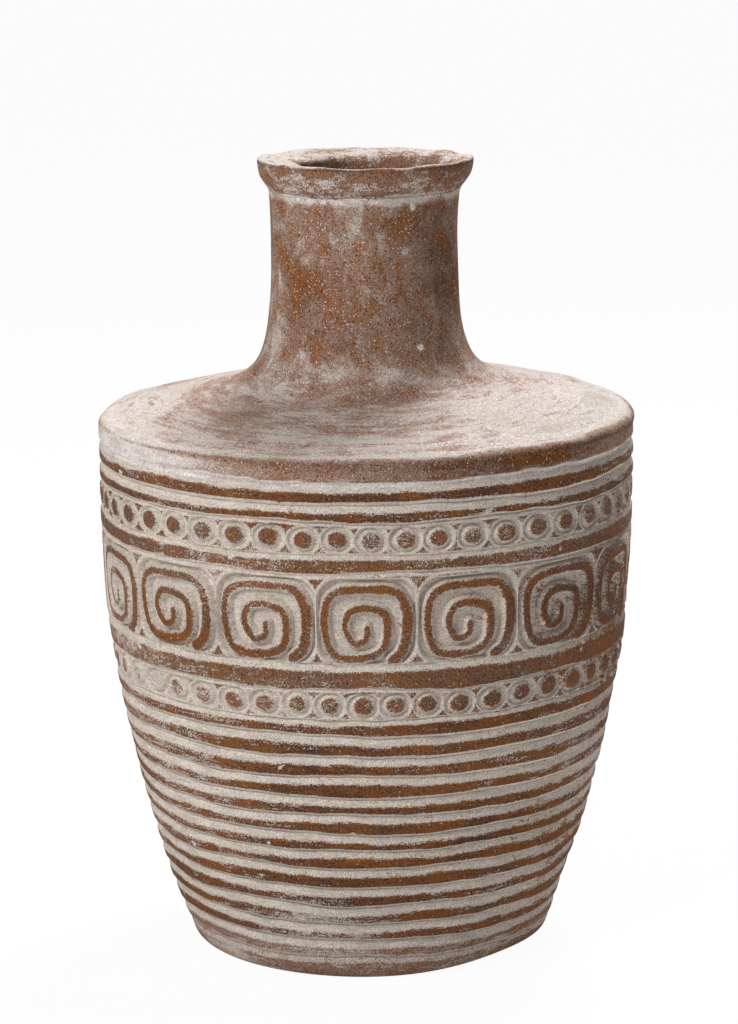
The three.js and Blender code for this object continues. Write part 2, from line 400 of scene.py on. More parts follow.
def rim_line(form):
    """Rim from the neck up its flaring underside and face, over the lip and down into the throat."""
    low = SEAM["rim"]
    neck_top = form.waist_radius + form.top_flare
    rim, throat = neck_top + form.rim_overhang, throat_radius(form)
    crease = (neck_top + CREASE_OUT, low + form.crease_rise)
    hollow = (rim - HOLLOW_IN, crease[1] + HOLLOW_UP)
    under = (rim - form.face_lean, low + form.under_rise)
    bulge = (rim - BULGE_IN, under[1] + BULGE_UP)
    outer = (rim, CREST - form.lip_rounding)
    lip = (rim - form.lip_rounding, CREST)
    mouth = (throat + form.mouth_rounding, CREST - form.mouth_fall)
    bore = (throat, mouth[1] - MOUTH_BEND * form.mouth_rounding)
    return evened(joined(
        straight((neck_top, low), crease), bend(crease, hollow, under), bend(under, bulge, outer),
        bend(outer, (rim, CREST), lip), straight(lip, mouth),
        bend(mouth, (throat, mouth[1]), bore), straight(bore, (throat, low + form.lute_rise)),
    ), FINE_STEP)


def upper_run(form, name):
    """How far up each point of the shoulder, neck or rim lies, counted on from the body's height."""
    start = SEAM["shoulder"]
    for piece, line in (("shoulder", shoulder_line), ("neck", neck_line), ("rim", rim_line)):
        run = start + run_along(line(form))
        if piece == name:
            return run
        start = run[-1]
    raise ValueError("no upper piece is named " + name)


# Thrown, stamped and carved relief: how far each place lies below the rib tops, and how bare it was wiped

# Middles of the rows of beads from the nearest joint
LOWER_BEADS_RISE = 8.6 * MM
UPPER_BEADS_DROP = 6.2 * MM

# Grooves
QUICK_WANDER = 0.35  # share of quick wander in their course
REACH_VARIES = 0.13
STEEP_HOLLOW = 1.25  # of the side under a rib
GENTLE_HOLLOW = 1.3  # of the side over a rib
NEAR_BELOW = 2  # reaches below its crease beyond which a groove is not felt
NEAR_ABOVE = 4  # and above it
BARE_ABOVE_FROM = 0.7  # share of the reach above a crease where the clay starts to be bare
BARE_BELOW_FROM = 0.5  # and of the reach below
BARE_BELOW_AT = 1.05  # share of the reach below where it is wholly bare

# Faint groove on the base: pitches below the first full one, and shares of its reach below and its depth
FAINT_DROP = 0.9
FAINT_REACH = 0.8
FAINT_DEPTH = 0.4

# Grooves under and over the beads and the spirals: what each crease is measured from, how far above that
# it lies and its reach below and above in millimetres, and its share of the full depth
BAND_GROOVES = (
    ("lower_bead_course", -0.4, 3.6, 1.4, 0.8),
    ("lower_beads", 9.6, 2.1, 1.2, 0.7),
    ("spiral_course", -0.3, 5.0, 1.6, 0.9),
    ("upper_bead_course", 2.0, 2.8, 1.7, 0.8),
    ("upper_beads", -9.0, 3.4, 1.4, 0.8),
    ("upper_beads", 9.6, 2.6, 1.8, 0.8),
)

# Full grooves over the two ribs below the shoulder: millimetres above a joint, before the crease lift
SHOULDER_GROOVES = (("shoulder_wall", 13), ("shoulder", 0.4))

# How single beads and spirals differ: least and most size, tilt, and stray in millimetres
BEAD_SIZES = (0.93, 1.05)
BEAD_STRAY = 0.6
KNOB_STRAY = 0.3
SPIRAL_SIZES = (0.96, 1.03)
SPIRAL_TILT = 0.05
SPIRAL_STRAY = 0.8
QUARTERS = 4  # marks round the vase between which both were spaced by eye

# Beads, and the corners between their rings. An edge is where a slope starts and ends, in shares of the size
ROW_REACH = 1.06  # half height of a row against that of a ring
KNOB_STRETCH = 1.15  # width of a knob against its height
KNOB_FLATNESS = 7
KNOB_BARE_EDGE = (0.6, 1.0)
CORNER_HEIGHT = 0.7  # as a share of the stamp's depth
CORNER_EDGE = (0.96, 1.03)
CORNER_BARE = 0.8
CORNER_BARE_EDGE = (1.1, 1.22)

# Knocks: least and most size in millimetres, the most that one leans, where its sides start and end in
# shares of its size, and how many widths above or below it is no longer felt
NICK_WIDE = (1.0, 3.2)
NICK_TALL = (0.8, 1.9)
NICK_LEAN = 0.8
NICK_SIDES = (0.5, 1.1)
NICK_NEAR = 3

# Wiping of the body
UNEVEN_WIPING = 0.12
WIPING_LUMPS = dict(turns=(1, 6), spans=(0.06, 0.2), count=10)
# Towards the right the wash is pulled to one bareness, which darkens it: partly rubbed wash, partly painted
# shade on the side turned from the key lamp
WORN_AND_SHADED_SIDE = (0.5, 0.95)  # how far to the right rubbing starts and is full, as shares of the radius
WORN_AND_SHADED_RIBS = 0.38  # how far the right of the ribs was rubbed
WORN_AND_SHADED_CARVING = 0.2  # and that of the spirals
WORN_AND_SHADED_BARE = 0.8  # how bare rubbing left them
KNOCK_WASH = 1.1  # how much wash a knock holds

# Wash over the shoulder, neck and rim: a place, millimetres on from it, and how bare it was wiped there
UPPER_WASH = (
    ("edge", -5, 1.4), ("edge", -1.5, 1.4), ("edge", 1, 0.7), ("edge", 4, 0.25),
    ("cone_end", -30, 0.36), ("cone_end", 0, 0.5), ("cone_end", 25, 0.7),
    ("neck", 0, 0.86), ("neck_top", -5, 0.88), ("neck_top", -2, 0.2),
    ("crease", 0, 0.15), ("crease", 2, 0.56), ("crease", 7, 0.56),
    ("lip", -8, 0.68), ("lip", -4, 0.95), ("lip", -2, 0.2), ("lip", 5, 0.35),
    ("throat", -3, 0.5), ("throat", 2, 0.75),
)
EDGE_LONGER = 1 * MM  # how much longer the outline is than the height, up to the shoulder's edge
LIP_LONGER = 4 * MM  # and from the neck to the lip
UPPER_UNEVEN = 0.06
UPPER_LUMPS = dict(turns=(1, 7), spans=(0.03, 0.15), count=14)

# Sides of the cone
CONE_FROM = 10 * MM  # past the edge, where they show in full
FRONT_RUBBED = 0.18  # how much barer the front is
FRONT_TURN = -0.25  # angle of its middle
FRONT_SPREAD = 0.6  # and how far it spreads
RIGHT_THICK = 0.22  # how much less bare the right is
RIGHT_SIDE = (0.1, 0.7)  # where that starts and is full, as shares of the radius

# Painted shade round the rim: dark lines in the crease under it and under its lip
CREASE_FADES = 0.5 * MM  # how far the line in the crease fades
LIP_LINE_FADES = 0.8 * MM  # and the line under the lip
LIP_LINE_RISE = 0.3 * MM
RIM_LINES_WIDE = 1 / 0.6  # as against other creases


def bead_heights():
    """Middles of the lower and the upper row of beads."""
    return SEAM["lower_bead_course"] + LOWER_BEADS_RISE, SEAM["shoulder_wall"] - UPPER_BEADS_DROP


def groove_list(carving):
    """Each groove's crease, its reach below and above that, and its share of the full depth."""
    ribs = carving.rib_count
    half = ribs // 2
    first = SEAM["lower_wall"] + carving.crease_lift
    pitch = (SEAM["lower_bead_course"] - SEAM["lower_wall"]) / ribs
    below, above = carving.groove_below, carving.groove_above
    faint_one_on_base = (first - FAINT_DROP * pitch, FAINT_REACH * below, above, FAINT_DEPTH)
    grooves = [faint_one_on_base]
    for number in range(ribs):
        creep = math.sin(math.pi * np.clip((number - half + 1) / half, 0, 1)) * carving.rib_creep
        grooves.append((first + number * pitch - creep, below, above, 1.0))
    lower, upper = bead_heights()
    marks = {**SEAM, "lower_beads": lower, "upper_beads": upper}
    for mark, lift, low, high, share in BAND_GROOVES:
        grooves.append((marks[mark] + lift * MM, low * MM, high * MM, share))
    for mark, lift in SHOULDER_GROOVES:
        grooves.append((marks[mark] + lift * MM + carving.crease_lift, below, above, 1.0))
    return grooves


def ring_cut(phi, height, carving):
    """Share of depth, bareness and distance above the nearest crease, for the grooves round the vase.

    Each groove drops steeply from the rib over it to its crease, and climbs gently to the rib below it.
    """
    depth = np.zeros(np.broadcast(phi, height).shape)
    bare = np.ones_like(depth)
    crease = np.full_like(depth, FAR)
    for number, (middle, low, high, share) in enumerate(groove_list(carving)):
        near = (height[:, 0] > middle - NEAR_BELOW * low) & (height[:, 0] < middle + NEAR_ABOVE * high)
        if not near.any():
            continue
        seed = carving.seed * GROOVE_DRAWS + number
        wander = waver(phi, seed) + QUICK_WANDER * waver(phi, seed + QUICK_DRAW, slowest=12, fastest=40)
        fuller = 1 + REACH_VARIES * waver(phi, seed + REACH_DRAW, slowest=2, fastest=16)
        distance = height[near] - middle - carving.waver * wander
        under_rib = np.clip(1 - distance / (high * fuller), 0, 1) ** STEEP_HOLLOW
        slope = np.clip(1 + distance / (low * fuller), 0, 1) ** GENTLE_HOLLOW
        over = distance > 0
        depth[near] = np.maximum(depth[near], share * np.where(over, under_rib, slope))
        bare_above = ease(distance, BARE_ABOVE_FROM * high, high)
        bare_below = ease(-distance, BARE_BELOW_FROM * low, BARE_BELOW_AT * low)
        bare[near] = np.minimum(bare[near], np.where(over, bare_above, bare_below))
        crease[near] = np.where(np.abs(distance) < np.abs(crease[near]), distance, crease[near])
    return depth, bare, crease


def panels(phi, count, start, carving):
    """Number of the repeat that each place lies in, and its angle from that repeat's middle."""
    pitch = TURN / count
    spaced = phi + carving.by_eye * np.sin(QUARTERS * phi) - start
    number = np.round(spaced / pitch).astype(int)
    return number % count, spaced - number * pitch


def bead_relief(phi, height, middle, start, radius, carving):
    """Height share, bareness and distance from a crease, for a row of stamped beads, which has no crease."""
    number, aside = panels(phi, carving.bead_count, start, carving)
    draw = np.random.default_rng(carving.seed + round(middle / MM))
    grow = draw.uniform(*BEAD_SIZES, carving.bead_count)[number]
    shift = draw.uniform(-BEAD_STRAY, BEAD_STRAY, (2, carving.bead_count))[:, number] * MM
    lean = draw.uniform(-KNOB_STRAY, KNOB_STRAY, (2, carving.bead_count))[:, number] * MM
    across = aside * radius - shift[0]
    up = height - middle - shift[1]
    ring = np.hypot(across / (carving.bead_wide * grow), up / carving.bead_tall)
    knob = np.hypot((across - lean[0]) / KNOB_STRETCH, up - lean[1]) / (carving.bead_knob * grow)
    dome = np.clip(1 - knob ** KNOB_FLATNESS, 0, 1)
    bare_dome = 1 - ease(knob, *KNOB_BARE_EDGE)
    bare_corner = CORNER_BARE * ease(ring, *CORNER_BARE_EDGE)
    raised = np.maximum(dome, CORNER_HEIGHT * ease(ring, *CORNER_EDGE))
    return raised, np.maximum(bare_dome, bare_corner), FAR


# Middle line of a carved spiral from its eye outwards, as shares of the half panel less its ridge
SPIRAL_LINE = (
    (0.02, -0.13), (-0.02, -0.43), (-0.28, -0.51), (-0.46, -0.09), (-0.33, 0.3), (0.01, 0.38), (0.4, 0.2),
    (0.46, -0.27), (0.34, -0.72), (-0.05, -0.91), (-0.67, -0.84), (-0.88, -0.3), (-0.86, 0.47),
    (-0.59, 0.81), (0.01, 0.86), (0.64, 0.78), (0.88, 0.35), (0.89, -0.31), (0.77, -0.8), (0.56, -1.0),
)

# Width of its ridge as a share of the full one: at the eye, gained on leaving it, and gained before the tail
EYE_WIDTH = 0.85
EYE_GAIN = 0.15
EYE_RUN = (0, 0.3)  # stretch of the spiral over which that is gained
TAIL_GAIN = 0.28
TAIL_RUN = (0.72, 0.9)

# Sides of its ridge, inwards and outwards from the ridge's edge
RIDGE_TOP_IN = 0.5 * MM
RIDGE_FOOT_OUT = 1.2 * MM
RIDGE_BARE_IN = 1.9 * MM
RIDGE_WASHED_OUT = 0.6 * MM

# Frame left standing round its ground
FRAME_BESIDE = 0.4 * MM  # half the width between two grounds
FRAME_ABOVE = 0.3 * MM  # width over and under a ground
FRAME_FOOT = 1.4 * MM  # from the frame's edge into the ground
FRAME_TOP = 0.3 * MM  # from its edge outwards
FRAME_BARE = 0.75
FRAME_BARE_EDGE = (1.4 * MM, 2.6 * MM)  # where that starts and is full, outwards from its edge


def smooth_line(points, steps=6):
    """Smooth curve through points, with that many steps between two of them."""
    points = np.array(points)
    padded = np.vstack([2 * points[0] - points[1], points, 2 * points[-1] - points[-2]])
    share = np.linspace(0, 1, steps, endpoint=False)[:, None]
    line = []
    for before, start, end, after in zip(padded, padded[1:], padded[2:], padded[3:]):
        slope_in = (end - before) / 2
        slope_out = (after - start) / 2
        cubic = 2 * start - 2 * end + slope_in + slope_out
        square = -3 * start + 3 * end - 2 * slope_in - slope_out
        line.append(cubic * share ** 3 + square * share ** 2 + slope_in * share + start)
    return np.vstack(line + [points[-1:]])


def nearest_on_line(across, up, line):
    """Distance from each place to the line, and how far along the line that is, from 0 to 1."""
    best = np.full(across.shape, np.inf)
    along = np.zeros(across.shape)
    last = len(line) - 1
    for number in range(last):
        start = line[number]
        step = line[number + 1] - start
        share = ((across - start[0]) * step[0] + (up - start[1]) * step[1]) / (step @ step)
        share = np.clip(share, 0, 1)
        gap = np.hypot(across - start[0] - share * step[0], up - start[1] - share * step[1])
        closer = gap < best
        best = np.where(closer, gap, best)
        along = np.where(closer, (number + share) / last, along)
    return best, along


def rounded_edge(across, up, half_wide, half_tall, corner):
    """Distance outside a rectangle with round corners, below zero inside it."""
    beyond = np.abs(across) - half_wide + corner
    above = np.abs(up) - half_tall + corner
    outside = np.hypot(np.clip(beyond, 0, None), np.clip(above, 0, None))
    return outside + np.minimum(np.maximum(beyond, above), 0) - corner


def spiral_relief(phi, height, radius, carving):
    """Height share, bareness and distance from the nearest crease, for the carved spirals."""
    low, high = SEAM["spiral_course"], SEAM["upper_bead_course"]
    half_tall = (high - low) / 2
    half_wide = math.pi / carving.spiral_count * radius
    number, aside = panels(phi, carving.spiral_count, 0, carving)
    draw = np.random.default_rng(carving.seed + SPIRAL_DRAW)
    tilt = draw.uniform(-SPIRAL_TILT, SPIRAL_TILT, carving.spiral_count)[number]
    grow = draw.uniform(*SPIRAL_SIZES, carving.spiral_count)[number]
    stray = draw.uniform(-SPIRAL_STRAY, SPIRAL_STRAY, (2, carving.spiral_count))[:, number] * MM
    flat_across, flat_up = np.broadcast_arrays(aside * radius, height - low - half_tall)
    across = (flat_across - stray[0] + tilt * flat_up) / grow
    up = (flat_up - stray[1] - tilt * flat_across) / grow
    room = np.array([half_wide, half_tall]) - carving.spiral_ridge / 2
    distance, along = nearest_on_line(across, up, smooth_line(SPIRAL_LINE) * room)
    taper = EYE_WIDTH + EYE_GAIN * ease(along, *EYE_RUN) + TAIL_GAIN * ease(along, *TAIL_RUN)
    half_ridge = carving.spiral_ridge / 2 * taper
    foot = half_ridge + RIDGE_FOOT_OUT
    ridge = 1 - ease(distance, half_ridge - RIDGE_TOP_IN, foot)
    ground_wide, ground_tall = half_wide - FRAME_BESIDE, half_tall - FRAME_ABOVE
    outline = rounded_edge(flat_across, flat_up, ground_wide, ground_tall, carving.panel_corner)
    frame_height = ease(outline, -FRAME_FOOT, FRAME_TOP)
    bare_ridge = 1 - ease(distance, half_ridge - RIDGE_BARE_IN, half_ridge + RIDGE_WASHED_OUT)
    bare_corner = FRAME_BARE * ease(outline, *FRAME_BARE_EDGE)
    crease = np.minimum(distance - foot, -outline - FRAME_FOOT)
    return np.maximum(ridge, frame_height), np.maximum(bare_ridge, bare_corner), crease


def nicks(phi, height, form, carving):
    """One in the small knocks that the body got before it was washed, and zero beside them."""
    draw = np.random.default_rng(carving.seed + NICK_DRAW)
    count = carving.nick_count
    turned = draw.uniform(0, TURN, count)
    up = draw.uniform(SEAM["lower_wall"], SEAM["shoulder"] + form.edge_height, count)
    wide = draw.uniform(*NICK_WIDE, count) * MM
    tall = draw.uniform(*NICK_TALL, count) * MM
    lean = draw.uniform(-NICK_LEAN, NICK_LEAN, count)
    knocked = np.zeros(np.broadcast(phi, height).shape)
    for number in range(count):
        near = np.abs(height[:, 0] - up[number]) < NICK_NEAR * wide[number]
        if near.any():
            rise = height[near] - up[number]
            aside = phi_signed(phi - turned[number]) * form.belly_radius - lean[number] * rise
            away = np.hypot(aside / wide[number], rise / tall[number])
            knocked[near] = np.maximum(knocked[near], 1 - ease(away, *NICK_SIDES))
    return knocked


def body_relief(phi, height, form, carving):
    """Metres below the rib tops, bareness and distance from the nearest crease, over the whole body."""
    depth, bare, crease = ring_cut(phi, height, carving)
    depth *= carving.rib_depth
    lower, upper = bead_heights()
    rows_at = (lower, upper, SEAM["upper_bead_course"])
    low_radius, high_radius, belly = (float(body_radius(form, up)) for up in rows_at)
    reach = ROW_REACH * carving.bead_tall
    zones = (
        (lower - reach, lower + reach, carving.stamp_depth,
         lambda rows: bead_relief(phi, rows, lower, carving.lower_start, low_radius, carving)),
        (upper - reach, upper + reach, carving.stamp_depth,
         lambda rows: bead_relief(phi, rows, upper, carving.upper_start, high_radius, carving)),
        (SEAM["spiral_course"], SEAM["upper_bead_course"], carving.carve_depth,
         lambda rows: spiral_relief(phi, rows, belly, carving)),
    )
    for low, high, deep, relief in zones:
        rows = (height[:, 0] >= low) & (height[:, 0] <= high)
        if rows.any():
            raised, bare_here, crease_here = relief(height[rows])
            depth[rows] = np.maximum(depth[rows], (1 - raised) * deep)
            bare[rows] = np.minimum(bare[rows], bare_here)
            crease[rows] = np.where(np.abs(crease_here) < np.abs(crease[rows]), crease_here, crease[rows])
    uneven = UNEVEN_WIPING * lumps(phi, height, carving.seed + BODY_WASH_DRAW, **WIPING_LUMPS)
    carved = (height > SEAM["spiral_course"]) & (height < SEAM["upper_bead_course"])
    # worn darkens the pale wash towards the right: partly rubbed wash, partly painted shade on the side away
    # from the key lamp
    worn = np.where(carved, WORN_AND_SHADED_CARVING, WORN_AND_SHADED_RIBS) * ease(np.sin(phi), *WORN_AND_SHADED_SIDE)
    knocked = nicks(phi, height, form, carving)
    bare = bare + (WORN_AND_SHADED_BARE - bare) * worn + uneven + blotches(phi, height) - KNOCK_WASH * knocked
    return depth + carving.nick_depth * knocked, bare, crease


def upper_bareness(phi, run, form, carving):
    """Bareness over the shoulder, neck and rim, from the shoulder's joint on."""
    edge = SEAM["shoulder"] + form.edge_height + EDGE_LONGER
    neck, neck_top = upper_run(form, "neck")[[0, -1]]
    cone_end = neck - ROOT_REACH
    lip = neck_top + CREST - SEAM["rim"] + LIP_LONGER
    marks = {
        "edge": edge, "cone_end": cone_end, "neck": neck, "neck_top": neck_top,
        "crease": neck_top + form.crease_rise, "lip": lip,
        "throat": lip + form.rim_overhang + form.neck_wall,
    }
    places = [marks[mark] + past * MM for mark, past, _ in UPPER_WASH]
    levels = [level for _, _, level in UPPER_WASH]
    on_cone = ease(run, edge, edge + CONE_FROM) * (1 - ease(run, cone_end, neck))
    rubbed_in_front = FRONT_RUBBED * np.exp(-((phi_signed(phi) - FRONT_TURN) / FRONT_SPREAD) ** 2)
    thick_on_right = RIGHT_THICK * ease(np.sin(phi), *RIGHT_SIDE)
    by_side = on_cone * (rubbed_in_front - thick_on_right)
    uneven = UPPER_UNEVEN * lumps(phi, run, carving.seed + UPPER_WASH_DRAW, **UPPER_LUMPS)
    return np.interp(run, places, levels) + by_side + uneven + blotches(phi, run)


def rim_crease(phi, run, form, carving):
    """Distance above the crease under the rim, or from the painted shade line under the lip if that is
    nearer.
    """
    start = upper_run(form, "rim")[0]
    wander = carving.waver * waver(phi, carving.seed + CREASE_DRAW, fastest=12)
    crease = run - start - form.crease_rise - wander
    faded = np.clip(CREASE_FADES * waver(phi, carving.seed + GAPS_DRAW, fastest=8), 0, None)
    crease = crease + np.copysign(faded, crease)
    lip_line = start + CREST - SEAM["rim"] + LIP_LINE_RISE
    broken = np.clip(LIP_LINE_FADES * waver(phi, carving.seed + LIP_DRAW, slowest=2, fastest=12), 0, None)
    under_lip = np.abs(run - lip_line) + broken
    return np.where(under_lip < np.abs(crease), under_lip, crease) / RIM_LINES_WIDE


# Meshes

def around(columns):
    """Angles round the vase, from the front towards the right."""
    return np.arange(columns)[None, :] * TURN / columns


def skin(line, push, phi):
    """Places of an outline turned round the vase, each pushed out square to the outline."""
    step = np.gradient(line, axis=0)
    facing = np.column_stack([step[:, 1], -step[:, 0]]) / np.hypot(*step.T)[:, None]
    radius = line[:, :1] + facing[:, :1] * push
    height = line[:, 1:] + facing[:, 1:] * push
    return np.stack(np.broadcast_arrays(radius * np.sin(phi), -radius * np.cos(phi), height), axis=-1)


def clay_piece(node, rows, bare, run, upright=0.0, crease=FAR, closed_by_hubs=False):
    """Closed turned piece from rows of places, with what its finish follows as attributes.

    bare says how far each place was wiped, run how far along the outline each row lies, upright how far
    the brush went up and not round, and crease how far the nearest crease is. The last row joins on to the
    first, or with closed_by_hubs each of the two is filled to its middle.
    """
    count, columns = rows.shape[:2]
    column = np.arange(columns)
    after = (column + 1) % columns
    faces = []
    for row in range(count - 1 if closed_by_hubs else count):
        below = row * columns
        above = (row + 1) % count * columns
        faces += np.column_stack([below + column, below + after, above + after, above + column]).tolist()
    corners = rows.reshape(-1, 3)
    phi = around(columns)
    marks = np.broadcast_arrays(np.sin(phi) * BRUSH_RADIUS, -np.cos(phi) * BRUSH_RADIUS, run[:, None])
    brush = np.stack(marks, axis=-1).reshape(-1, 3)
    followed = {"bare": bare, "upright": upright, "crease": crease}
    for label, values in followed.items():
        followed[label] = np.broadcast_to(values, (count, columns)).ravel()
    if closed_by_hubs:
        first_hub, last_hub = len(corners), len(corners) + 1
        last = (count - 1) * columns
        faces += np.column_stack([np.full(columns, first_hub), after, column]).tolist()
        faces += np.column_stack([np.full(columns, last_hub), last + column, last + after]).tolist()
        corners = np.vstack([corners, rows[0].mean(axis=0), rows[-1].mean(axis=0)])
        brush = np.vstack([brush, brush[0], brush[-1]])
        for label, values in followed.items():
            followed[label] = np.append(values, [values[0], values[-1]])
    mesh = bpy.data.meshes.new(node + "_clay")
    mesh.from_pydata(corners.tolist(), [], faces)
    for label, values in followed.items():
        mesh.attributes.new(label, "FLOAT", "POINT").data.foreach_set("value", values.astype(np.float32))
    lie_of_brush = mesh.attributes.new("brush", "FLOAT_VECTOR", "POINT")
    lie_of_brush.data.foreach_set("vector", brush.astype(np.float32).ravel())
    mesh.polygons.foreach_set("use_smooth", np.ones(len(mesh.polygons), dtype=bool))
    mesh.set_sharp_from_angle(angle=SHARP_ANGLE)
    piece = bpy.data.objects.new(node + "_clay", mesh)
    bpy.context.scene.collection.objects.link(piece)
    return piece


def settle(piece, node, finish):
    """Gives a piece its finish and puts it in its node's place."""
    piece.data.materials.append(finish_named(finish))
    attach(piece, "root")
    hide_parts(node)


# Inside walls
FINGER_PITCH = 9 * MM
FINGER_DEPTH = 0.35  # share of the lumps
INSIDE_BARE = 0.75


def thrown_inside(line, phi, carving):
    """Finger rings and lumps on an inside wall, none of them at its two joints."""
    rings = np.sin(TURN * line[:, 1:] / FINGER_PITCH + waver(phi, carving.seed + RINGS_DRAW, fastest=5))
    number = np.arange(len(line))[:, None]
    clear = (number > 0) & (number < len(line) - 1)
    uneven = FINGER_DEPTH * rings + lumps(phi, line[:, 1:], carving.seed + INSIDE_DRAW)
    return uneven * carving.lumps * clear


def lined(values, inside, value):
    """Values over an outside, followed by one value all over the inside."""
    return np.concatenate([values, np.full((len(inside), values.shape[1]), value)])


def body_course(name, columns, finish):
    """Ring of the body from its own joint to the next, with its share of the relief."""
    form, carving = bpy.context.scene.vase_form, bpy.context.scene.vase_carving
    phi = around(columns)
    low, high = SEAM[name], SEAM[COURSES[COURSES.index(name) + 1]]
    outside = wall_line(form, low, high, FINE_STEP)
    inside = inside_line(form, low, high)
    depth, bare, crease = body_relief(phi, outside[:, 1:], form, carving)
    wall = skin(outside, outside_lumps(phi, outside[:, 1:], carving) - depth, phi)
    rows = np.concatenate([wall, skin(inside, thrown_inside(inside, phi, carving), phi)])
    run = np.concatenate([outside[:, 1], inside[:, 1]])
    piece = clay_piece(
        name, rows, lined(bare, inside, INSIDE_BARE), run, crease=lined(crease, inside, FAR))
    settle(piece, name, finish)


# Finishes

class Palette:
    """Short ways to add nodes to one material, or to the surroundings."""

    def __init__(self, owner):
        owner.use_nodes = True
        self.nodes = owner.node_tree.nodes
        self.links = owner.node_tree.links

    def feed(self, socket, value):
        """Links a socket, or sets a number, a vector or a colour."""
        if isinstance(value, bpy.types.NodeSocket):
            self.links.new(value, socket)
        elif hasattr(value, "__len__"):
            socket.default_value = (*value, 1) if len(socket.default_value) == 4 else tuple(value)
        else:
            socket.default_value = value

    def add(self, kind, output, inputs=None, **settings):
        """New node with its settings made and its inputs fed. Gives one of its outputs."""
        node = self.nodes.new("ShaderNode" + kind)
        for name, setting in settings.items():
            setattr(node, name, setting)
        for name, value in (inputs or {}).items():
            self.feed(node.inputs[name], value)
        return node.outputs[output]

    def places(self):
        """Places in the vase's own frame, in metres."""
        return self.add("TexCoord", "Object")

    def attribute(self, name, output):
        return self.add("Attribute", output, attribute_name=name)

    def stretched(self, places, scale):
        return self.add("Mapping", "Vector", {"Vector": places, "Scale": scale})

    def noise(self, places, scale, detail, rough, swirl=0.0):
        return self.add("TexNoise", "Fac", {
            "Vector": places, "Scale": scale, "Detail": detail, "Roughness": rough, "Distortion": swirl,
        })

    def grit(self, places, scale):
        """Grains like sand, each with its own value from 0 to 1."""
        return self.add("TexVoronoi", "Color", {"Vector": places, "Scale": scale})

    def maths(self, operation, first, second):
        return self.add("Math", 0, {0: first, 1: second}, operation=operation)

    def weighed(self, start, *layers):
        """start plus each layer's distance from a half times its weight."""
        total = start
        for layer, weight in layers:
            centred = self.maths("SUBTRACT", layer, 0.5)
            total = self.maths("ADD", total, self.maths("MULTIPLY", centred, weight))
        return total

    def between(self, value, low, high, start=0.0, end=1.0, shape="SMOOTHSTEP"):
        """Step of value from low to high, spread from start to end."""
        return self.add("MapRange", "Result", {
            "Value": value, "From Min": low, "From Max": high, "To Min": start, "To Max": end,
        }, interpolation_type=shape)

    def mix(self, share, first, second):
        """Colour between two colours."""
        return self.add("Mix", 2, {0: share, 6: first, 7: second}, data_type="RGBA")

    def blend(self, share, first, second):
        """Number between two numbers."""
        return self.add("Mix", 0, {0: share, 2: first, 3: second})

    def scaled(self, tone, factor):
        return self.add("VectorMath", "Vector", {0: tone, "Scale": factor}, operation="SCALE")

    def bump(self, height, reach, strength):
        return self.add("Bump", "Normal", {"Height": height, "Distance": reach, "Strength": strength})

    def seen_directly(self):
        """One where the camera, a mirror or a clear thing looks straight here, and zero for light."""
        path = self.nodes.new("ShaderNodeLightPath")
        seen = path.outputs["Is Camera Ray"]
        for name in ("Is Glossy Ray", "Is Transmission Ray"):
            seen = self.maths("MAXIMUM", seen, path.outputs[name])
        return seen


# Brush marks as marks in a metre, twice round the wall and once along it
FINE_MARKS = (60, 60, 560)
SHORT_MARKS = (150, 150, 700)
BROAD_MARKS = (24, 24, 150)
MARKS_UP = (40, 40, 66)

# Patches, clouds, grains of sand, finer grains and pits of the clay, each as so many in a metre
PATCHES = 45.0
CLOUDS = 16.0
SAND = 1700.0
FINE_SAND = 2400.0
PITS = 1250.0

# Painted shade along creases, and the feel of the surface
CREASE_BREAKS = 1.2 * MM  # how much brush marks break up the line in a crease
CREASE_EDGE = (0.7 * MM, 0.1 * MM)  # from the crease, where its line starts and is full
WASH_ROUGH = 0.95
CLAY_ROUGH = 0.8
SHEEN = 0.15
TOOTH_HEIGHT = 0.5 * MM
TOOTH_STRENGTH = 0.7

# Each finish: thick is its thick wash, and least and most say how far the deepest and the barest places
# are wiped. streak, patch and grain say how much brush marks, patches and sand break up the wash, edge how
# soft its edges are, film how much thin wash clings to the clay, speck how rare specks of chalk are, and
# line how dark the painted shade along the creases is
FINISHES = {
    "smeared_foot": dict(
        thick="wash", least=-0.15, most=1.02, marks=FINE_MARKS, streak=2.5, patch=1.8, grain=0.9,
        edge=0.1, film=0.9, speck=0.92, line=0.4,
    ),
    "wiped_ribs": dict(
        thick="wash", least=-0.15, most=1.02, marks=FINE_MARKS, streak=2.5, patch=1.6, grain=0.9,
        edge=0.04, film=0.15, speck=0.93, line=0.4,
    ),
    "wiped_carving": dict(
        thick="wash", least=-0.2, most=0.98, marks=SHORT_MARKS, streak=2.0, patch=2.4, grain=1.0,
        edge=0.04, film=0.4, speck=0.93, line=0.15,
    ),
    "brushed_wash": dict(
        thick="cool_wash", least=0.0, most=1.0, marks=BROAD_MARKS, streak=2.7, patch=1.6, grain=0.55,
        edge=0.36, film=1.0, speck=0.86, line=0.6,
    ),
    "worn_wash": dict(
        thick="cool_wash", least=0.0, most=1.0, marks=BROAD_MARKS, streak=3.2, patch=2.2, grain=0.7,
        edge=0.16, film=0.6, speck=0.93, line=0.6,
    ),
}


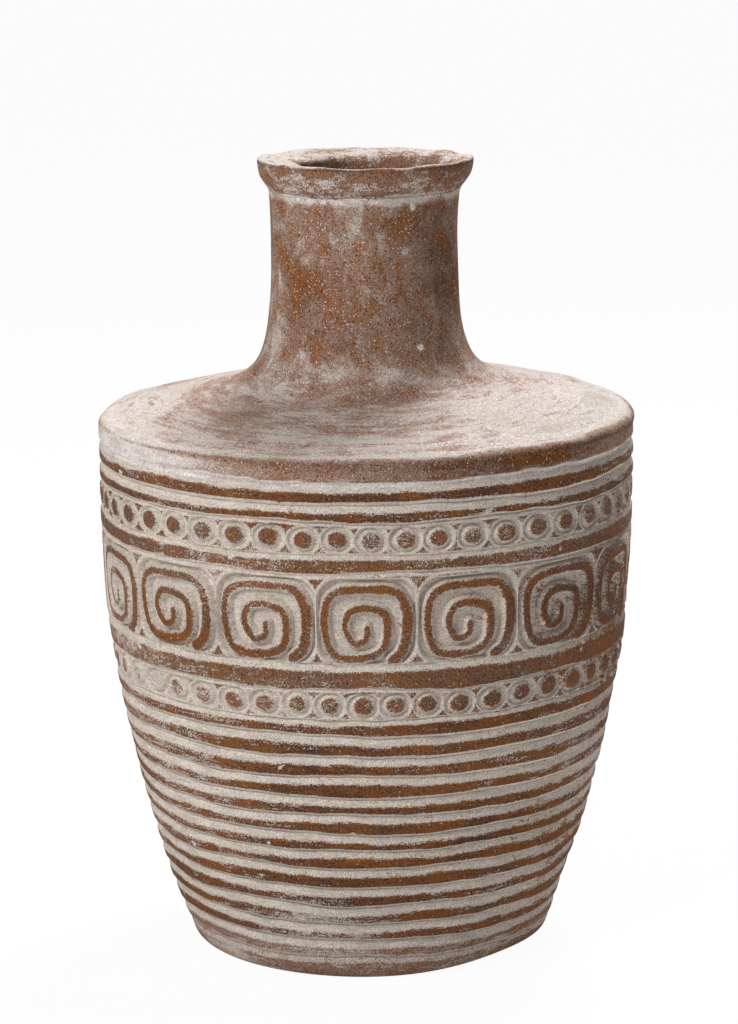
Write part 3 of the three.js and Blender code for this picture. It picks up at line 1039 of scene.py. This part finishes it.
def clay_finish(name, thick, least, most, marks, streak, patch, grain, edge, film, speck, line):
    """Matt clay under a pale wash that stays where the surface was not wiped bare."""
    colours = bpy.context.scene.vase_finish
    material = bpy.data.materials.new(name)
    coat = Palette(material)
    places = coat.places()
    brush = coat.attribute("brush", "Vector")
    upright = coat.attribute("upright", "Fac")
    streaks_round = coat.noise(coat.stretched(brush, marks), 1.0, detail=5.0, rough=0.7)
    streaks_up = coat.noise(coat.stretched(brush, MARKS_UP), 1.0, detail=4.0, rough=0.57, swirl=0.8)
    streaks = coat.blend(upright, streaks_round, streaks_up)
    rough_patches = coat.noise(places, PATCHES, detail=6.0, rough=0.7, swirl=0.4)
    soft_patches = coat.noise(places, PATCHES, detail=4.0, rough=0.55, swirl=0.6)
    patches = coat.blend(upright, rough_patches, soft_patches)
    clouds = coat.noise(places, CLOUDS, detail=5.0, rough=0.6, swirl=0.6)
    grains = coat.grit(places, SAND)
    flecks = coat.grit(places, FINE_SAND)

    # How far each place is wiped, also where it is barer than 1 or less than 0, and whether clay shows there
    span = most - least
    wiped = coat.between(coat.attribute("bare", "Fac"), -1, 2, least - span, most + span, "LINEAR")
    level = coat.weighed(wiped, (streaks, streak), (patches, patch), (grains, grain))
    bare = coat.between(level, 0.5 - edge, 0.5 + edge)

    # Clay, with a film of thin wash where it is rubbed less
    warmth = coat.weighed(0.5, (clouds, 1.4), (patches, 1.4), (streaks, 1.2), (flecks, 0.5))
    clay = coat.mix(coat.between(warmth, 0.1, 0.8), colours.deep_clay, colours.clay)
    rubbed = coat.weighed(wiped, (clouds, 1.4), (patches, 1.2), (streaks, 2.4), (grains, 0.7))
    filmed = coat.mix(coat.between(rubbed, 0.75, 1.5, start=film, end=0.0), clay, colours.thin_wash)

    # Wash, thinner towards its edges
    thickness = coat.between(coat.weighed(0.5, (patches, 1.4), (streaks, 1.6), (flecks, 0.4)), 0.2, 0.8)
    full_wash = coat.mix(thickness, colours.grey_wash, getattr(colours, thick))
    wash = coat.mix(coat.between(level, 0.1, 0.5, end=0.4), full_wash, colours.thin_wash)

    # Specks of chalk and pits over both, and painted shade along the creases
    surface = coat.mix(bare, wash, filmed)
    chalky = coat.between(coat.weighed(grains, (patches, 0.3)), speck, speck + 0.05, end=0.75)
    speckled = coat.mix(chalky, surface, colours.chalk)
    pitting = coat.between(coat.grit(places, PITS), 0.25, 0.19, end=0.7)
    pits = coat.maths("MULTIPLY", pitting, coat.between(bare, 0, 1, start=0.2))
    pitted = coat.mix(pits, speckled, colours.deep_clay)
    # Painted shade: each crease is darkened towards the crease shade colour
    off_crease = coat.maths("ABSOLUTE", coat.attribute("crease", "Fac"), 0)
    creased = coat.between(coat.weighed(off_crease, (streaks, CREASE_BREAKS)), *CREASE_EDGE, end=line)
    lined_clay = coat.mix(creased, pitted, colours.crease_shade)

    # Fine grain and brush marks as light and dark, and as tooth
    fine_grain = coat.between(bare, 0, 1, start=0.8)
    drawn_out = coat.between(bare, 0, 1, start=0.2, end=1.6)
    sparkle = coat.weighed(1.0, (flecks, fine_grain), (streaks, drawn_out))
    tooth = coat.weighed(coat.maths("MULTIPLY", bare, -0.4), (grains, 0.6), (streaks, 0.8), (flecks, 0.5))
    shader = coat.nodes["Principled BSDF"].inputs
    coat.feed(shader["Base Color"], coat.scaled(lined_clay, sparkle))
    coat.feed(shader["Roughness"], coat.between(bare, 0, 1, start=WASH_ROUGH, end=CLAY_ROUGH))
    coat.feed(shader["Specular IOR Level"], SHEEN)
    coat.feed(shader["Normal"], coat.bump(tooth, TOOTH_HEIGHT, TOOTH_STRENGTH))
    return material


def finish_named(name):
    """The finish of that name, made when it is first asked for."""
    return bpy.data.materials.get(name) or clay_finish(name, **FINISHES[name])


# Foot
FOOT_SMEAR = 20 * MM  # height up to which its wash is smeared
FOOT_LEAST_BARE = 0.35
FOOT_MOST_BARE = 0.82
FOOT_UNEVEN = 0.2
FOOT_LUMPS = dict(turns=(1, 5), spans=(0.02, 0.05), count=8)
WALL_LUMPS_START = (1 * MM, 8 * MM)  # heights where the wall's lumps start and are full
RELIEF_STARTS = (2 * MM, 12 * MM)  # and its relief
WEAR_TURN = math.radians(52)  # where its edge is worn most, to the right of the front
WEAR_SPREAD = math.radians(28)
WEAR_UNDER = 25 * MM  # reach of that wear under the foot
WEAR_UP = 16 * MM  # and up the wall


class VASE_OT_base(bpy.types.Operator):
    """Make the base: floor, rounded foot edge and the start of the wall"""
    bl_idname = "vase.base"
    bl_label = "Base"

    def execute(self, context):
        form, carving = context.scene.vase_form, context.scene.vase_carving
        phi = around(PLAIN_COLUMNS)
        top = SEAM["lower_wall"]
        rounded_top = (float(body_radius(form, form.foot_rounding)), form.foot_rounding)
        contact = (rounded_top[0] - form.foot_rounding, 0)
        corner = (rounded_top[0] - carving.rib_depth, 0)
        inner_foot = inside_point(form, form.floor_thickness)
        hub = INSIDE_STEP
        outside = joined(
            straight((hub, 0), contact, steps=8), bend(contact, corner, rounded_top, steps=10),
            wall_line(form, form.foot_rounding, top, FINE_STEP),
        )
        inside = joined(
            straight(inside_point(form, top + form.lute_rise), inner_foot, steps=4),
            straight(inner_foot, (hub, form.floor_thickness), steps=10),
        )
        rising = outside[:, 1:]
        depth, bare, crease = body_relief(phi, rising, form, carving)
        push = outside_lumps(phi, rising, carving) * ease(rising, *WALL_LUMPS_START)
        push -= depth * ease(rising, *RELIEF_STARTS)
        wall = skin(outside, push, phi)
        on_right = np.exp(-((phi_signed(phi) - WEAR_TURN) / WEAR_SPREAD) ** 2)
        near_edge = ease(outside[:, :1], contact[0] - WEAR_UNDER, contact[0])
        near_edge = near_edge * (1 - ease(rising, 0, WEAR_UP))
        wall[..., 2] += form.foot_wear * on_right * near_edge
        uneven = FOOT_UNEVEN * lumps(phi, rising, carving.seed + FOOT_DRAW, **FOOT_LUMPS)
        smeared = np.clip(bare, FOOT_LEAST_BARE, FOOT_MOST_BARE + uneven)
        bare = np.where(rising < FOOT_SMEAR, smeared, bare)
        run = np.concatenate([run_along(outside) - run_along(outside)[-1] + top, inside[:, 0]])
        piece = clay_piece(
            "base", np.concatenate([wall, skin(inside, 0, phi)]), lined(bare, inside, INSIDE_BARE), run,
            crease=lined(crease, inside, FAR), closed_by_hubs=True)
        settle(piece, "base", "smeared_foot")
        return {"FINISHED"}


class VASE_OT_ribbed_walls(bpy.types.Operator):
    """Make the three ribbed courses of the wall"""
    bl_idname = "vase.ribbed_walls"
    bl_label = "Ribbed walls"

    def execute(self, context):
        for name in ("lower_wall", "middle_wall", "shoulder_wall"):
            body_course(name, PLAIN_COLUMNS, "wiped_ribs")
        return {"FINISHED"}


class VASE_OT_bead_courses(bpy.types.Operator):
    """Make the two courses with a row of stamped beads and a plain belt"""
    bl_idname = "vase.bead_courses"
    bl_label = "Bead courses"

    def execute(self, context):
        for name in ("lower_bead_course", "upper_bead_course"):
            body_course(name, FINE_COLUMNS, "wiped_carving")
        return {"FINISHED"}


class VASE_OT_spiral_course(bpy.types.Operator):
    """Make the course that is carved with spirals"""
    bl_idname = "vase.spiral_course"
    bl_label = "Spiral course"

    def execute(self, context):
        body_course("spiral_course", FINE_COLUMNS, "wiped_carving")
        return {"FINISHED"}


# Shoulder, with distances along its outline
RIB_UNDER_EDGE = 1.35  # how much barer than the other ribs the one under its edge is
CREASE_UNDER_EDGE = 0.35 * MM  # how far the line in the crease under that rib fades
EDGE_TURNS = 2 * MM  # half the stretch over which the wall turns into the edge
EDGE_TILTS = 4 * MM  # past the edge, where the edge's own tilt is full
CONE_TILTS = (10 * MM, 30 * MM)  # past the edge, where the cone's tilt starts and is full
ROOT_CLEAR = 10 * MM  # under the neck, where no tilt is left
BRUSHED_UP = 30 * MM  # under the neck, where the brush starts to turn upwards
CONE_TILT = (0.3, 0.95, 1.1)  # shares of the tilt: all round, to the right, and to both sides
EDGE_TILT = (0.25, 0.65)  # and of the edge's: all round, and to the right


class VASE_OT_shoulder(bpy.types.Operator):
    """Make the shoulder: rounded edge, shallow cone and the curve that starts the neck"""
    bl_idname = "vase.shoulder"
    bl_label = "Shoulder"

    def execute(self, context):
        form, carving = context.scene.vase_form, context.scene.vase_carving
        phi = around(PLAIN_COLUMNS)
        outside = shoulder_line(form)
        run = upper_run(form, "shoulder")
        along, end = run[:, None], run[-1]
        foot, (_, edge), cone_start, _, neck_foot, climb = shoulder_marks(form)
        throat = throat_radius(form)
        under = (throat, cone_start[1] + (cone_start[0] - throat) * climb - form.shoulder_thickness)
        inside = joined(
            straight((throat, neck_foot[1] + form.lute_rise), under, steps=6),
            straight(under, (foot[0] - form.wall, foot[1] + form.lute_rise), steps=12),
        )
        depth, bare, crease = body_relief(phi, outside[:, 1:], form, carving)
        on_wall = 1 - ease(along, edge - EDGE_TURNS, edge + EDGE_TURNS)
        past_edge = ease(along, edge + CONE_TILTS[0], edge + CONE_TILTS[1])
        on_cone = past_edge * (1 - ease(along, end - ROOT_REACH, end - ROOT_CLEAR))
        by_edge = ease(along, edge - EDGE_TURNS, edge + EDGE_TILTS) * (1 - past_edge)
        to_right = np.sin(phi)
        cone_tilt = CONE_TILT[0] + CONE_TILT[1] * to_right + CONE_TILT[2] * to_right ** 2
        edge_tilt = EDGE_TILT[0] + EDGE_TILT[1] * to_right
        push = outside_lumps(phi, along, carving) - depth * on_wall
        push += form.shoulder_tilt * cone_tilt * on_cone
        push += form.shoulder_tilt * edge_tilt * by_edge
        bare = RIB_UNDER_EDGE * bare * on_wall + upper_bareness(phi, along, form, carving) * (1 - on_wall)
        crease = np.where(on_wall > 0.5, np.abs(crease) + CREASE_UNDER_EDGE, FAR)
        upright = ease(along, end - BRUSHED_UP, end)
        piece = clay_piece(
            "shoulder", np.concatenate([skin(outside, push, phi), skin(inside, 0, phi)]),
            lined(bare, inside, INSIDE_BARE), np.concatenate([run, end + run_along(inside)]),
            lined(upright, inside, 0), lined(crease, inside, FAR))
        settle(piece, "shoulder", "brushed_wash")
        return {"FINISHED"}


class VASE_OT_neck(bpy.types.Operator):
    """Make the neck"""
    bl_idname = "vase.neck"
    bl_label = "Neck"

    def execute(self, context):
        form, carving = context.scene.vase_form, context.scene.vase_carving
        phi = around(PLAIN_COLUMNS)
        outside = neck_line(form)
        run = upper_run(form, "neck")
        along = run[:, None]
        throat = throat_radius(form)
        top, foot = SEAM["rim"] + form.lute_rise, SEAM["neck"] + form.lute_rise
        inside = straight((throat, top), (throat, foot), steps=10)
        wall = skin(outside, outside_lumps(phi, along, carving), phi)
        rows = np.concatenate([wall, skin(inside, thrown_inside(inside, phi, carving), phi)])
        bare = upper_bareness(phi, along, form, carving)
        crease = rim_crease(phi, along, form, carving)
        run = np.concatenate([run, run[-1] + run_along(inside)])
        piece = clay_piece(
            "neck", rows, lined(bare, inside, INSIDE_BARE), run, 1.0, lined(crease, inside, FAR))
        settle(piece, "neck", "brushed_wash")
        return {"FINISHED"}


# Rim, with distances along its outline
JOINT_CLEAR = 5 * MM  # before its joint in the throat, where lumps fade out
MOUTH_SHIFTS = (5 * MM, 25 * MM)  # past its lip, where the mouth's own offset starts and is full


class VASE_OT_rim(bpy.types.Operator):
    """Make the rolled rim"""
    bl_idname = "vase.rim"
    bl_label = "Rim"

    def execute(self, context):
        form, carving = context.scene.vase_form, context.scene.vase_carving
        phi = around(PLAIN_COLUMNS)
        line = rim_line(form)
        run = upper_run(form, "rim")
        along = run[:, None]
        upper_share = ease(line[:, 1:], SEAM["rim"] + form.crease_rise, CREST)
        push = outside_lumps(phi, along, carving) * ease(along, run[-1], run[-1] - JOINT_CLEAR)
        rows = skin(line, push, phi)
        at_back = ((1 - np.cos(phi)) / 2) ** 2
        rows[..., 2] -= form.rim_sag * at_back * upper_share
        lip = run[0] + CREST - SEAM["rim"]
        inward = ease(along, lip + MOUTH_SHIFTS[0], lip + MOUTH_SHIFTS[1])
        rows[..., 0] += (form.rim_offset + form.mouth_offset * inward) * upper_share
        bare = upper_bareness(phi, along, form, carving)
        piece = clay_piece("rim", rows, bare, run, crease=rim_crease(phi, along, form, carving))
        settle(piece, "rim", "worn_wash")
        return {"FINISHED"}


# Studio

KEY_PLACE = (-1.25, -1.55, 1.75)
KEY_SIZE = (1.1, 1.1)
RIM_PLACE = (0.5, 1.2, 2.1)
RIM_SIZE = (0.7, 1.2)
FLOOR_REACH = 30.0
FLOOR_GAP = 0.2 * MM  # under the foot
FLOOR_ROUGH = 0.9
SENSOR_WIDTH = 36  # in millimetres
FARTHEST = 50  # that the camera sees, in metres


def soft_lamp(name, place, size, power):
    """Lamp behind a rectangle of diffuser, turned to the middle of the vase."""
    lamp = bpy.data.lights.new(name, "AREA")
    lamp.shape = "RECTANGLE"
    lamp.size, lamp.size_y = size
    lamp.energy = power
    holder = bpy.data.objects.new(name, lamp)
    holder.location = place
    aim = Vector((0, 0, CREST / 2))
    holder.rotation_euler = (aim - Vector(place)).to_track_quat("-Z", "Y").to_euler()
    holder.visible_camera = False
    bpy.context.scene.collection.objects.link(holder)


class VASE_OT_stage(bpy.types.Operator):
    """Make the floor, the soft lamps, the white surroundings and the camera"""
    bl_idname = "vase.stage"
    bl_label = "Studio"

    def execute(self, context):
        stage = context.scene.vase_stage
        soft_lamp("key_lamp", KEY_PLACE, KEY_SIZE, stage.key_power)
        soft_lamp("rim_lamp", RIM_PLACE, RIM_SIZE, stage.rim_power)
        self.make_floor(stage)
        self.make_surroundings(context.scene, stage)
        self.make_camera(context.scene, stage)
        context.scene.view_settings.view_transform = "Standard"
        return {"FINISHED"}

    def make_floor(self, stage):
        mesh = bpy.data.meshes.new("floor")
        corners = [(-1, -1), (1, -1), (1, 1), (-1, 1)]
        mesh.from_pydata([(x * FLOOR_REACH, y * FLOOR_REACH, 0) for x, y in corners], [], [(0, 1, 2, 3)])
        floor = bpy.data.objects.new("floor", mesh)
        floor.location.z = -FLOOR_GAP
        bpy.context.scene.collection.objects.link(floor)
        material = bpy.data.materials.new("pale_floor")
        paint = Palette(material)
        matt = paint.nodes["Principled BSDF"]
        paint.feed(matt.inputs["Base Color"], stage.floor)
        paint.feed(matt.inputs["Roughness"], FLOOR_ROUGH)
        white = paint.maths("MULTIPLY", paint.seen_directly(), stage.floor_white)
        plain_white = paint.add("Emission", 0)
        shown = paint.add("MixShader", 0, {0: white, 1: matt.outputs[0], 2: plain_white})
        paint.feed(paint.nodes["Material Output"].inputs["Surface"], shown)
        mesh.materials.append(material)

    def make_surroundings(self, scene, stage):
        scene.world = bpy.data.worlds.new("studio")
        paint = Palette(scene.world)
        sky = paint.nodes["Background"].inputs
        paint.feed(sky["Color"], (1, 1, 1))
        paint.feed(sky["Strength"], paint.between(paint.seen_directly(), 0, 1, stage.sky, 1, "LINEAR"))

    def make_camera(self, scene, stage):
        data = bpy.data.cameras.new("camera")
        data.lens = stage.lens
        data.sensor_width = SENSOR_WIDTH
        data.clip_end = FARTHEST
        camera = bpy.data.objects.new("camera", data)
        turn = Matrix.Rotation(math.pi / 2 - stage.pitch, 4, "X") @ Matrix.Rotation(stage.roll, 4, "Z")
        camera.matrix_world = Matrix.Translation(stage.camera_place) @ turn
        scene.collection.objects.link(camera)
        scene.camera = camera


OPERATORS = (
    VASE_OT_base, VASE_OT_ribbed_walls, VASE_OT_bead_courses, VASE_OT_spiral_course,
    VASE_OT_shoulder, VASE_OT_neck, VASE_OT_rim, VASE_OT_stage,
)
GROUPS = {
    "vase_form": VaseForm, "vase_carving": VaseCarving, "vase_finish": VaseFinish, "vase_stage": VaseStage,
}


class VASE_PT_panel(bpy.types.Panel):
    """The vase's pieces and sizes"""
    bl_idname = "VASE_PT_panel"
    bl_label = "Terracotta vase"
    bl_space_type = "VIEW_3D"
    bl_region_type = "UI"
    bl_category = "Vase"

    def draw(self, context):
        for operator in OPERATORS:
            self.layout.operator(operator.bl_idname)
        for name, group in GROUPS.items():
            box = self.layout.box()
            for size in group.__annotations__:
                box.prop(getattr(context.scene, name), size)


def register():
    for name, group in GROUPS.items():
        bpy.utils.register_class(group)
        setattr(bpy.types.Scene, name, PointerProperty(type=group))
    for operator in OPERATORS:
        bpy.utils.register_class(operator)
    bpy.utils.register_class(VASE_PT_panel)


def unregister():
    bpy.utils.unregister_class(VASE_PT_panel)
    for operator in reversed(OPERATORS):
        bpy.utils.unregister_class(operator)
    for name, group in GROUPS.items():
        delattr(bpy.types.Scene, name)
        bpy.utils.unregister_class(group)


def main():
    register()
    for operator in OPERATORS:
        family, name = operator.bl_idname.split(".")
        getattr(getattr(bpy.ops, family), name)()


if __name__ == "__main__":
    main()
